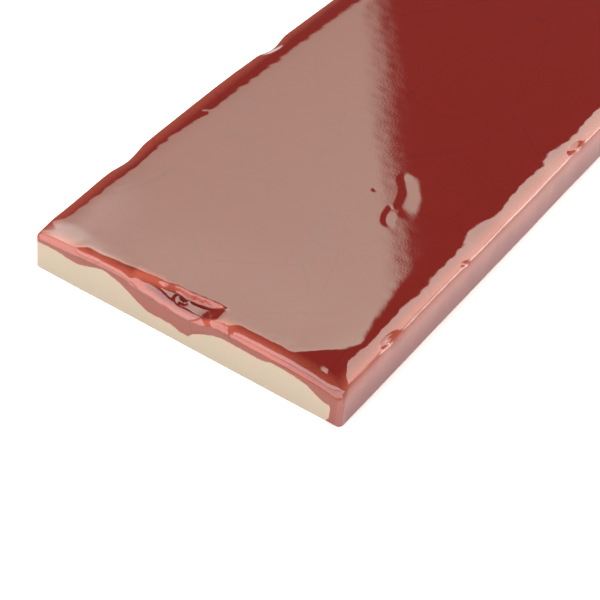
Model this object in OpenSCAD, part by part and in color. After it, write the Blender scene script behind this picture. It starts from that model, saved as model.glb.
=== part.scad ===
// Hand-pressed subway tile with a thick glaze over its face and one long side.
// It lies on its flat back: x runs across it, y along it and z up. The origin is
// the middle of the back. Clay and glaze are fired into one piece.

/* [Overall size] */
// Length of the tile from end to end
tile_length = 150; // [90:1:300]
// Width of the tile from side to side
tile_width = 75; // [50:1:90]
// Thickness from the flat back to the highest point of the face
tile_thickness = 10.6; // [9:0.2:20]

/* [Corners and edges] */
// Radius of the four upright corners
corner_radius = 1; // [0.6:0.1:6]
// How far each side leans in between the back and the rim
side_draft = 0.05; // [0:0.05:1.5]
// Radius of the round along the edges of the back
back_round = 0.25; // [0.15:0.05:1]
// Width of the tight round between a long side and the face
side_round_width = 0.6; // [0.3:0.1:1.6]
// Height of that tight round
side_round_height = 1.6; // [0.6:0.1:3]
// Width of the wide round between an end and the face
end_round_width = 2.6; // [0.8:0.1:4]
// Height of that wide round
end_round_height = 2.3; // [0.8:0.1:3]

/* [Face] */
// Width of the band where the face rolls down to the long sides
roll_width = 9; // [5:0.5:16]
// How far the face has dropped where it meets a long side
roll_drop = 0.9; // [0.2:0.1:2]
// How much higher the middle of the face is than the start of the roll
face_crown = 0.15; // [0:0.05:1]
// How much thinner the near end is than the rest
near_thinning = 0.55; // [0:0.05:1]
// Length over which the near end thins
thinning_reach = 26; // [10:1:40]

/* [Hand-made waves] */
// How far the sides wander in and out
side_wave = 0.08; // [0:0.02:1]
// How far the rim wanders up and down
rim_wave = 0.1; // [0:0.05:0.6]
// Length of one wave along the edge
wave_length = 42; // [20:1:80]
// How much lower the rim is at the two near corners
corner_drop = 1.1; // [0:0.1:2]
// How far from a corner the rim starts to drop
corner_reach = 13; // [4:0.5:20]
// Depth of the hollow in the rim of the near end
hollow_depth = 2; // [0:0.1:2.8]
// Half the length of that hollow along the rim
hollow_half_length = 12; // [6:0.5:20]
// How far that hollow and the corners' drop reach in over the face
hollow_reach = 6.5; // [4:0.5:12]

/* [Hidden] */

// Spacing of the points along a side, and steps in each round
POINT_STEP = 3;
CORNER_STEPS = 4;
BACK_STEPS = 2;
RIM_STEPS = 4;
ROLL_STEPS = 4;
CROWN_STEPS = 2;
// The roll steepens towards the rim by this power
ROLL_POWER = 3;
// Share of the half width over which rings carry the crown, before its middle point
CROWN_SHARE = 0.7;
// Share of a side's own height that stays as straight as the back
LEVEL_SHARE = 0.35;
// Share of the sides' wander that is left at the back, which is cut straighter
BACK_WANDER = 0.4;
// Share of the corners' drop that the two far corners have
FAR_DROP = 0.25;
// Share by which the end's round is lower in the hollow
HOLLOW_TIGHT = 0.5;
// How far in the sides' and the rim's waves die out
WAVE_REACH = 6;
// The moulded shape runs this far below the back before the back is cut flat
SPARE_BELOW = 1;

NEAR = [0, -1];
RIGHT = [1, 0];
FAR = [0, 1];
LEFT = [-1, 0];

half_w = tile_width / 2;
half_l = tile_length / 2;
face_height = tile_thickness - face_crown;
crown_width = half_w - roll_width;
points_across = ceil(tile_width / POINT_STEP);
points_along = ceil(tile_length / POINT_STEP);

// Dents along the rim: the side, the place along it as a share of its half length,
// half length of the dent, how deep it is, how far it pushes the side in and how far
// it reaches over the face
hollow = [NEAR, -0.07, hollow_half_length, hollow_depth, 0, hollow_reach];
dents = [
    hollow,
    [LEFT, -0.60, 7, 0.6, 0.35, 4],
    [LEFT, 0.10, 6, 0.6, 0.5, 4],
    [LEFT, 0.53, 60, 0.2, 1.5, 6],
    [RIGHT, -0.77, 5, 0.2, 0.1, 2],
    [RIGHT, 0.25, 5, 0.2, 0.1, 2],
    [FAR, 0.45, 11, 0.7, 0.2, 6],
];

// A smooth bell: 1 at its middle, 0 from one half length on
function bell(share) = share < 1 ? (1 + cos(180 * share)) / 2 : 0;

// Total of a list of numbers
function total(values) = values * [for (v = values) 1];

// Two waves of unlike length that cross the tile at a slant, from -1 to 1
function ripple(p, phase) =
    0.6 * sin(360 * (p.x + 0.9 * p.y) / wave_length + phase)
    + 0.4 * sin(360 * (1.7 * p.x - 1.5 * p.y) / wave_length + 2 * phase);

// Points between two ends, both ends left out
function between(start, finish, count) =
    [for (k = [1 : count - 1]) start + (finish - start) * k / count];

// A quarter round that starts at the given angle
function quarter(centre, radius, angle) =
    [for (k = [0 : CORNER_STEPS])
        let (a = angle + 90 * k / CORNER_STEPS)
        centre + radius * [cos(a), sin(a)]];

// An oblong with rounded corners, anticlockwise, with as many points at any insets
// from the long sides and from the ends
function oblong(side_inset, end_inset) =
    let (hx = half_w - side_inset)
    let (hy = half_l - end_inset)
    let (r = min(corner_radius, 0.9 * hx))
    let (x = hx - r)
    let (y = hy - r)
    concat(
        quarter([x, y], r, 0),
        between([x, hy], [-x, hy], points_across),
        quarter([-x, y], r, 90),
        between([-hx, y], [-hx, -y], points_along),
        quarter([-x, -y], r, 180),
        between([-x, -hy], [x, -hy], points_across),
        quarter([x, -y], r, 270),
        between([hx, -y], [hx, y], points_along)
    );

edge = oblong(0, 0);

// The direction out of the tile at each point of its edge
outward = [for (p = edge)
    let (x = half_w - corner_radius)
    let (y = half_l - corner_radius)
    let (q = p - [max(-x, min(x, p.x)), max(-y, min(y, p.y))])
    q / norm(q)];

// How far each point of the edge belongs to an end: 0 on a long side, 1 on an end
end_share = [for (o = outward) o.y * o.y];

// How near a point of the edge is to the middle of a dent in its side, from 0 to 1
function nearness(i, dent) =
    let (p = edge[i])
    let (d = dent[0])
    let (along = d.x == 0 ? p.x - dent[1] * half_w : p.y - dent[1] * half_l)
    max(0, outward[i] * d) * bell(abs(along) / dent[2]);

// How far a corner lowers a point of the edge
function corner_fall(p) =
    corner_drop * (p.y < 0 ? 1 : FAR_DROP)
    * bell(norm([half_w, half_l] - [abs(p.x), abs(p.y)]) / corner_reach);

// How far the side stands in at each point of the edge
wander = [for (i = [0 : len(edge) - 1])
    side_wave * ripple(edge[i], 25) + total([for (dent = dents) dent[4] * nearness(i, dent)])];

// How far waves, corners and dents lower the face at a distance in from the rim
function lowering(i, d) =
    rim_wave * ripple(edge[i], 140) * bell(d / WAVE_REACH)
    + corner_fall(edge[i]) * bell(d / hollow_reach)
    + total([for (dent = dents) dent[3] * nearness(i, dent) * bell(d / dent[5])]);

// Height of the face itself at a place: crowned, rolled down to the long sides and
// thinned at the near end
function face_at(p) =
    let (crown = (1 - pow(p.x / half_w, 2)) * (1 - pow(p.y / half_l, 4)))
    let (left = max(0, 1 - (half_w - abs(p.x)) / roll_width))
    face_height + face_crown * crown - roll_drop * pow(left, ROLL_POWER)
    - near_thinning * bell((p.y + half_l) / thinning_reach);

// Fall of a quarter ellipse at a distance in from its outer end
function round_fall(d, width, height) =
    d < width ? height * (1 - sqrt(1 - pow(1 - d / width, 2))) : 0;

// Rings of the face, from the rim to the crest: distance in from the long sides and
// distance in from the ends
face_rings = concat(
    [for (k = [0 : RIM_STEPS])
        let (share = 1 - cos(90 * k / RIM_STEPS))
        [side_round_width * share, end_round_width * share]],
    [for (k = [1 : ROLL_STEPS])
        let (share = k / ROLL_STEPS)
        [side_round_width + (roll_width - side_round_width) * share,
         end_round_width + (roll_width - end_round_width) * share]],
    [for (k = [1 : CROWN_STEPS])
        let (d = roll_width + crown_width * CROWN_SHARE * k / CROWN_STEPS)
        [d, d]]
);

// One ring of the face as points in space, before it is fitted to the stated size
function face_ring(ring) =
    let (flat = oblong(side_draft + ring[0], side_draft + ring[1]))
    [for (i = [0 : len(flat) - 1])
        let (e = end_share[i])
        let (d = ring[0] * (1 - e) + ring[1] * e)
        let (end_height = end_round_height * (1 - HOLLOW_TIGHT * nearness(i, hollow)))
        let (tight = round_fall(ring[0], side_round_width, side_round_height))
        let (wide = round_fall(ring[1], end_round_width, end_height))
        let (p = flat[i] - outward[i] * wander[i] * bell(d / WAVE_REACH))
        [p.x, p.y, face_at(flat[i]) - tight * (1 - e) - wide * e - lowering(i, d)]];

rim = face_ring(face_rings[0]);

// One ring of the sides: how far in it is, its height, and the share of the rim's own
// height at each point that is added to it
function side_ring(inset, height, share) =
    let (flat = oblong(inset, inset))
    [for (i = [0 : len(flat) - 1])
        let (p = flat[i] - outward[i] * wander[i] * BACK_WANDER)
        [p.x, p.y, height + rim[i].z * share]];

// Every ring from below the back up to the crest
loose = concat(
    [side_ring(back_round, -SPARE_BELOW, 0)],
    [for (k = [0 : BACK_STEPS])
        let (a = 90 * k / BACK_STEPS)
        side_ring(back_round * (1 - sin(a)), back_round * (1 - cos(a)), 0)],
    [side_ring(side_draft * LEVEL_SHARE, 0, LEVEL_SHARE)],
    [for (ring = face_rings) face_ring(ring)]
);

// The waves are fitted so that the tile is as wide and as long as stated
loose_points = [for (ring = loose) each ring];
low = [min([for (p = loose_points) p.x]), min([for (p = loose_points) p.y])];
high = [max([for (p = loose_points) p.x]), max([for (p = loose_points) p.y])];
fit_x = tile_width / (high.x - low.x);
fit_y = tile_length / (high.y - low.y);
middle = (high + low) / 2;

function fitted(points) =
    [for (p = points) [(p.x - middle.x) * fit_x, (p.y - middle.y) * fit_y, p.z]];

// A closed solid through rings of equal length, closed by a point at each end
module lofted(layers, first_point, last_point) {
    n = len(layers[0]);
    last = len(layers) - 1;
    points = concat([for (layer = layers) each layer], [first_point, last_point]);
    first_index = len(points) - 2;
    last_index = len(points) - 1;
    skin = [for (k = [0 : last - 1], i = [0 : n - 1])
        let (j = (i + 1) % n)
        each [
            [k * n + i, (k + 1) * n + j, k * n + j],
            [k * n + i, (k + 1) * n + i, (k + 1) * n + j]
        ]];
    first_fan = [for (i = [0 : n - 1]) [first_index, i, (i + 1) % n]];
    last_fan = [for (i = [0 : n - 1]) [last_index, last * n + (i + 1) % n, last * n + i]];
    polyhedron(points, concat(skin, first_fan, last_fan), 4);
}

// The tile as it is moulded, with some clay to spare below its back
module moulded() {
    lofted([for (ring = loose) fitted(ring)], [0, 0, -SPARE_BELOW], [0, 0, tile_thickness]);
}

module tile() {
    color("firebrick")
        difference() {
            moulded();
            translate([-tile_width, -tile_length, -2 * SPARE_BELOW])
                cube([2 * tile_width, 2 * tile_length, 2 * SPARE_BELOW]);
        }
}

tile();
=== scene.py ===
"""The looks of a hand-pressed subway tile with a deep red crackle glaze.

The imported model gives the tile's box and its frame. The tile's skin is worked out again here,
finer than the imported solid: the same waves, rolled rim, dents and hollow, and with them the
fine relief of the glaze. All lengths in this file are in millimetres until a mesh or a light is
made, and x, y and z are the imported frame's own: x across the tile, y along it, z up.
"""

import logging
import math
from dataclasses import dataclass, field
from enum import Enum
from typing import Union

import bpy
import numpy as np
from mathutils import Matrix, Vector


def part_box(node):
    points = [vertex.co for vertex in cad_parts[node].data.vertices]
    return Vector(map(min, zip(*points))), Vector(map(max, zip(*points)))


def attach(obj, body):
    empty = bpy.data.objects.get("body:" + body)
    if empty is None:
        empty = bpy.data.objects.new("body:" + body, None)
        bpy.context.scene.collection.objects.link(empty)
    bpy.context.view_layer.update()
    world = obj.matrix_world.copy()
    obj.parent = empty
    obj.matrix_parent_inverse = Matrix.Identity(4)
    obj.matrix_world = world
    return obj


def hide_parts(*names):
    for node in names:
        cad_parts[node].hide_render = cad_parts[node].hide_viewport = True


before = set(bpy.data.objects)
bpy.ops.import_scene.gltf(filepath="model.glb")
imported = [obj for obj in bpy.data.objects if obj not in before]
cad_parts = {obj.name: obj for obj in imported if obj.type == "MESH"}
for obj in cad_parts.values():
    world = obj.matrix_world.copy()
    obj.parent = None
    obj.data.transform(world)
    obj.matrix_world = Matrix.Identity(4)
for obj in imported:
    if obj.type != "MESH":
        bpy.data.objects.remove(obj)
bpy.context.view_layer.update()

MM = 0.001
NODE = "tile"
BODY = "root"
log = logging.getLogger("subway_tile")

# the power by which the roll's fall grows towards the side
ROLL_POWER = 3
# for the glaze's edge, in millimetres: surely past it, lower than the back, and level with it
FAR_OFF = 5.0
BELOW_THE_BACK = -1.0
LEVEL = 1e-4

Triple = tuple[float, float, float]
Pair = tuple[float, float]
Colour = Triple
Path = Union[float, tuple[Pair, ...]]
Grid = np.ndarray


# ---------------------------------------------------------------------------------------------
# Shader maths
# ---------------------------------------------------------------------------------------------


class Socket:
    """An output socket of a shader tree that takes part in sums, products and steps."""

    def __init__(self, sheet: "ShaderSheet", link: bpy.types.NodeSocket) -> None:
        """Wraps a Blender socket, and keeps the sheet that it belongs to."""
        self.sheet = sheet
        self.link = link

    def _math(self, operation: str, *values: "Value") -> "Socket":
        """Adds one Math node that works on the given values."""
        return self.sheet.node("ShaderNodeMath", {"operation": operation}, dict(enumerate(values)))

    def __add__(self, other: "Value") -> "Socket":
        """The sum of this socket and a value."""
        return self._math("ADD", self, other)

    __radd__ = __add__

    def __sub__(self, other: "Value") -> "Socket":
        """This socket less a value."""
        return self._math("SUBTRACT", self, other)

    def __rsub__(self, other: "Value") -> "Socket":
        """A value less this socket."""
        return self._math("SUBTRACT", other, self)

    def __mul__(self, other: "Value") -> "Socket":
        """The product of this socket and a value."""
        return self._math("MULTIPLY", self, other)

    __rmul__ = __mul__

    def between(self, low: float, high: float) -> "Socket":
        """A smooth step: 0 up to low, 1 from high on, and a soft slope between them.

        Args:
            low: where it leaves 0.
            high: where it reaches 1.

        Returns:
            The step.
        """
        settings = {"interpolation_type": "SMOOTHSTEP", "clamp": True}
        inputs = {"Value": self, "From Min": low, "From Max": high}
        return self.sheet.node("ShaderNodeMapRange", settings, inputs)


Value = Union[Socket, float, int, Triple]


@dataclass(frozen=True)
class Mottle:
    """A kind of soft noise.

    Attributes:
        size: the width of one patch, in millimetres.
        detail: how many finer layers are added.
        roughness: how strong the finer layers are.
        stretch: a factor on each axis, below 1 to draw the patches out along it.
    """

    size: float
    detail: float = 2.0
    roughness: float = 0.5
    stretch: Triple = (1.0, 1.0, 1.0)


class ShaderSheet:
    """One material's node tree, filled by calls that each add a node."""

    def __init__(self, name: str) -> None:
        """Makes an empty material.

        Args:
            name: the material's name.
        """
        self.material = bpy.data.materials.new(name)
        self.material.use_nodes = True
        self.tree = self.material.node_tree
        self.tree.nodes.clear()

    def node(self, kind: str, settings: dict | None = None, inputs: dict | None = None,
             output: int | str = 0) -> Socket:
        """Adds one node, sets it up and links it.

        Args:
            kind: the node's Blender type.
            settings: its own properties, set first; "stops" fills a colour ramp.
            inputs: a socket's name or index, and the value or Socket it takes.
            output: the name or index of the output that is wanted.

        Returns:
            The wanted output.
        """
        made = self.tree.nodes.new(kind)
        for name, value in (settings or {}).items():
            if name == "stops":
                self._fill_ramp(made.color_ramp, value)
            else:
                setattr(made, name, value)
        for name, value in (inputs or {}).items():
            socket = made.inputs[name]
            if isinstance(value, Socket):
                self.tree.links.new(value.link, socket)
            elif isinstance(value, tuple) and socket.type == "RGBA":
                socket.default_value = (*value, 1.0)
            else:
                socket.default_value = value
        return Socket(self, made.outputs[output])

    @staticmethod
    def _fill_ramp(ramp: bpy.types.ColorRamp, stops: list[tuple[float, Colour]]) -> None:
        """Gives a colour ramp its stops.

        Args:
            ramp: the ramp of a Color Ramp node.
            stops: each stop's place from 0 to 1 and its colour.
        """
        while len(ramp.elements) > 1:
            ramp.elements.remove(ramp.elements[-1])
        ramp.elements[0].position = stops[0][0]
        ramp.elements[0].color = (*stops[0][1], 1.0)
        for place, colour in stops[1:]:
            ramp.elements.new(place).color = (*colour, 1.0)

    def attribute(self, name: str) -> Socket:
        """A number that the piece's mesh holds at each vertex."""
        return self.node("ShaderNodeAttribute", {"attribute_name": name}, output="Fac")

    def place(self, scale: float = 1.0, stretch: Triple = (1.0, 1.0, 1.0)) -> Socket:
        """The Object coordinates in millimetres, times a scale.

        Args:
            scale: a factor on all three axes.
            stretch: a further factor on each axis.

        Returns:
            A vector socket.
        """
        spot = self.node("ShaderNodeTexCoord", output="Object")
        factor = tuple(scale * s / MM for s in stretch)
        return self.vector("MULTIPLY", {0: spot, 1: factor})

    def height(self) -> Socket:
        """Height above the back in millimetres."""
        return self.node("ShaderNodeSeparateXYZ", None, {"Vector": self.place()}, "Z")

    def noise(self, kind: Mottle) -> Socket:
        """Soft noise.

        Args:
            kind: its patches and layers.

        Returns:
            The noise, from 0 to 1.
        """
        inputs = {"Vector": self.place(1 / kind.size, kind.stretch), "Scale": 1.0,
                  "Detail": kind.detail, "Roughness": kind.roughness}
        return self.node("ShaderNodeTexNoise", None, inputs)

    def sway(self, kind: Mottle) -> Socket:
        """The same noise about 0, from -0.5 to 0.5."""
        return self.noise(kind) - 0.5

    def mix(self, factor: Value, first: Value, second: Value) -> Socket:
        """A colour between two colours: the first at factor 0, and the second at 1."""
        mixer = {"data_type": "RGBA", "clamp_factor": True}
        return self.node("ShaderNodeMix", mixer, {0: factor, 6: first, 7: second}, output=2)

    def tint(self, colour: Value, factor: Value) -> Socket:
        """A colour times a number."""
        return self.vector("SCALE", {0: colour, "Scale": factor})

    def vector(self, operation: str, inputs: dict) -> Socket:
        """Adds one Vector Math node."""
        return self.node("ShaderNodeVectorMath", {"operation": operation}, inputs)

    def bump(self, height: Socket, depth: float) -> Socket:
        """The normal of a relief from 0 to 1 that is so many millimetres deep."""
        inputs = {"Height": height, "Distance": depth * MM, "Strength": 1.0}
        return self.node("ShaderNodeBump", None, inputs)

    def finish(self, surface: Socket) -> bpy.types.Material:
        """Links the surface to the output.

        Args:
            surface: the shader.

        Returns:
            The material.
        """
        output = self.tree.nodes.new("ShaderNodeOutputMaterial")
        self.tree.links.new(surface.link, output.inputs["Surface"])
        return self.material


class LampSheet(ShaderSheet):
    """The node tree of a light, filled in the same way."""

    def __init__(self, lamp: bpy.types.Light) -> None:
        """Takes over the nodes of a light that uses them."""
        self.tree = lamp.node_tree

    def glow(self, colour: Socket) -> None:
        """Links a colour to what the light gives off."""
        self.tree.links.new(colour.link, self.tree.nodes["Emission"].inputs["Color"])


# ---------------------------------------------------------------------------------------------
# Shapes of relief
# ---------------------------------------------------------------------------------------------


def bell(share: Grid) -> Grid:
    """A smooth bell: half of 1 plus the cosine of a share of a half turn, 0 past a share of 1."""
    return (1.0 + np.cos(np.pi * np.clip(np.abs(share), 0.0, 1.0))) / 2.0


def smooth_step(value: Grid, low: float, high: float) -> Grid:
    """A soft step: three t squared less two t cubed, with t from 0 at low to 1 at high."""
    t = np.clip((value - low) / (high - low), 0.0, 1.0)
    return t * t * (3.0 - 2.0 * t)


def soft_path(places: Grid, points: Path) -> Grid:
    """A smooth line through given points.

    Between two points it is a cubic. At each point its slope is the harmonic mean of the slopes on
    the two sides, or level where they differ in sign, so that the line never overshoots.

    Args:
        places: where the line is wanted.
        points: the points, each a place and a height, in order of place, or one height for all.

    Returns:
        The line's height at each place.
    """
    if isinstance(points, float):
        return np.full(np.shape(places), points)
    spots, heights = np.array(points, float).T
    steps = np.diff(spots)
    slopes = np.diff(heights) / steps
    product = slopes[:-1] * slopes[1:]
    same_way = product > 0.0
    total = np.where(same_way, slopes[:-1] + slopes[1:], 1.0)
    inner = np.where(same_way, 2.0 * product / total, 0.0)
    tangents = np.concatenate([slopes[:1], inner, slopes[-1:]])
    k = np.clip(np.searchsorted(spots, places) - 1, 0, len(spots) - 2)
    t = np.clip((places - spots[k]) / steps[k], 0.0, 1.0)
    rise = t * t * (3.0 - 2.0 * t)
    leave, arrive = t * (1.0 - t) ** 2, t * t * (t - 1.0)
    bend = leave * tangents[k] + arrive * tangents[k + 1]
    return heights[k] + (heights[k + 1] - heights[k]) * rise + steps[k] * bend


class Side(Enum):
    """The four upright sides, by their outward direction across and along the tile."""

    NEAR = (0, -1)
    RIGHT = (1, 0)
    FAR = (0, 1)
    LEFT = (-1, 0)


@dataclass(frozen=True)
class Dimple:
    """A small round hollow in the glaze, or a pimple where its depth is negative.

    Attributes:
        across: its middle's x.
        along: its middle's y.
        radius: where it has run out, across the tile.
        depth: how deep its middle is.
        stretch: how many times as long as wide it is.
        slant: how far its middle line moves across for each millimetre along.
    """

    across: float
    along: float
    radius: float
    depth: float
    stretch: float = 1.0
    slant: float = 0.0

    def fall(self, x: Grid, y: Grid) -> Grid:
        """Its depth at each place: the bell of the distance over the radius, times the depth.

        Args:
            x: places across.
            y: places along.

        Returns:
            The depth at each place.
        """
        past = y - self.along
        aside = x - self.across - self.slant * past
        return self.depth * bell(np.hypot(aside, past / self.stretch) / self.radius)


@dataclass(frozen=True)
class Lumps:
    """Soft random lumps, as a hand-dipped glaze has them.

    Attributes:
        seed: starts the random draws.
        shortest: the shortest wave.
        longest: the longest wave.
        height: how high the lumps mostly are.
        count: how many waves make them up.
    """

    seed: int
    shortest: float
    longest: float
    height: float
    count: int = 14

    def rise(self, x: Grid, y: Grid) -> Grid:
        """Their height at each place: sine waves of random length, direction and start, summed.

        Args:
            x: places across.
            y: places along.

        Returns:
            The height, as much below 0 as above it.
        """
        draw = np.random.default_rng(self.seed)
        total = np.zeros(np.shape(x))
        for _ in range(self.count):
            heading, start = draw.uniform(0.0, np.pi), draw.uniform(0.0, 2.0 * np.pi)
            length = draw.uniform(self.shortest, self.longest)
            along = x * math.cos(heading) + y * math.sin(heading)
            total += np.sin(2.0 * np.pi * along / length + start)
        return self.height * total / math.sqrt(self.count)


@dataclass(frozen=True)
class Blister:
    """A burst bubble in the glaze: a winding steep wall, and a gentle slope back up beside it.

    Attributes:
        wall: the wall's top edge, each point a y and an x.
        wall_width: width of the steep wall at its widest.
        slope_width: width of the gentle slope.
        depth: how deep the foot of the wall is.
        ends: lengths over which it fades in at its near end and out at its far end.
    """

    wall: tuple[Pair, ...]
    wall_width: float = 1.3
    slope_width: float = 4.6
    depth: float = 0.075
    ends: Pair = (3.6, 3.0)

    def fall(self, x: Grid, y: Grid) -> Grid:
        """Its depth at each place.

        Across the tile it steps down over the wall's width and comes back over the slope's. Along
        the tile it fades in and out over the ends of the wall.

        Args:
            x: places across.
            y: places along.

        Returns:
            The depth at each place.
        """
        start, end = self.wall[0][0], self.wall[-1][0]
        past = x - soft_path(y, self.wall)
        down = smooth_step(past, 0.0, self.wall_width)
        back = smooth_step(past, self.wall_width, self.wall_width + self.slope_width)
        begin = smooth_step(y, start, start + self.ends[0])
        finish = 1.0 - smooth_step(y, end - self.ends[1], end)
        return self.depth * begin * finish * down * (1.0 - back)


# ---------------------------------------------------------------------------------------------
# The tile's skin
# ---------------------------------------------------------------------------------------------


@dataclass(frozen=True)
class RimProfile:
    """How the face falls away towards one side: a wide soft roll, then the rim's round.

    Each value is a number, or a path of points, each a place along the side and a value.

    Attributes:
        roll_width: how far in from the side the roll starts.
        roll_slope: the roll's slope where it would meet the side.
        round_width: width of the quarter oval that rounds the rim.
        round_height: height of that quarter oval.
        glaze: depth of the glaze left on the rim, as a share of the face's.
        round_power: 2 makes the oval an ellipse, and nearer 1 it is nearer a bevel.
    """

    roll_width: Path
    roll_slope: Path
    round_width: Path
    round_height: Path
    glaze: Path
    round_power: Path = 2.0

    def roll(self, place: Grid, inward: Grid) -> Grid:
        """The roll's fall: a third of its slope and width, times the cube of the share left.

        Args:
            place: places along the side.
            inward: distances in from the side.

        Returns:
            How far the face has fallen.
        """
        width = soft_path(place, self.roll_width)
        left = np.clip(1.0 - inward / width, 0.0, 1.0)
        return soft_path(place, self.roll_slope) * width / ROLL_POWER * left ** ROLL_POWER


@dataclass(frozen=True)
class RimHollow:
    """A hollow in the near rim: a level floor and a steep wall up to the face.

    Attributes:
        floor: how far the floor is down, along the rim.
        wall_foot: distance in from the rim to the foot of the wall, along the rim.
        wall_width: width of the wall, along the rim.
        tilt: how much the floor slopes down inwards, or up where it is negative.
        lip: how far the wall's thin glaze runs past its middle, in widths of the wall.
        deep: the floor's depths from which the wall counts, and counts in full.
    """

    floor: Path
    wall_foot: Path
    wall_width: Path
    tilt: float
    lip: float = 1.5
    deep: Pair = (0.1, 0.6)

    def wall(self, place: Grid, inward: Grid) -> Grid:
        """How far a place is on the wall and its lips: a bell over them, stepped by the depth.

        Args:
            place: places along the rim.
            inward: distances in from the rim.

        Returns:
            A share from 0 to 1.
        """
        width = soft_path(place, self.wall_width)
        middle = soft_path(place, self.wall_foot) + width / 2.0
        counts = smooth_step(soft_path(place, self.floor), *self.deep)
        return bell((inward - middle) / (self.lip * width)) * counts

    def fall(self, place: Grid, inward: Grid) -> Grid:
        """Its depth at each place: the floor's, and a smooth step back over the wall.

        Args:
            place: places along the rim.
            inward: distances in from the rim.

        Returns:
            The depth at each place.
        """
        floor = soft_path(place, self.floor)
        foot = soft_path(place, self.wall_foot)
        width = soft_path(place, self.wall_width)
        up = smooth_step((inward - foot) / width, 0.0, 1.0)
        return floor * (1.0 + self.tilt * np.minimum(inward, foot)) * (1.0 - up)


@dataclass(frozen=True)
class RimDent:
    """A dent that a knock or a finger left in the soft rim.

    Attributes:
        side: the side whose rim it is in.
        place: its middle, measured along the side from the side's own middle.
        half_length: half its length along the rim.
        depth: how far it lowers the rim.
        inward: how far it pushes the side in.
        reach: how far it runs in over the face.
    """

    side: Side
    place: float
    half_length: float
    depth: float
    inward: float = 0.0
    reach: float = 6.0


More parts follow.
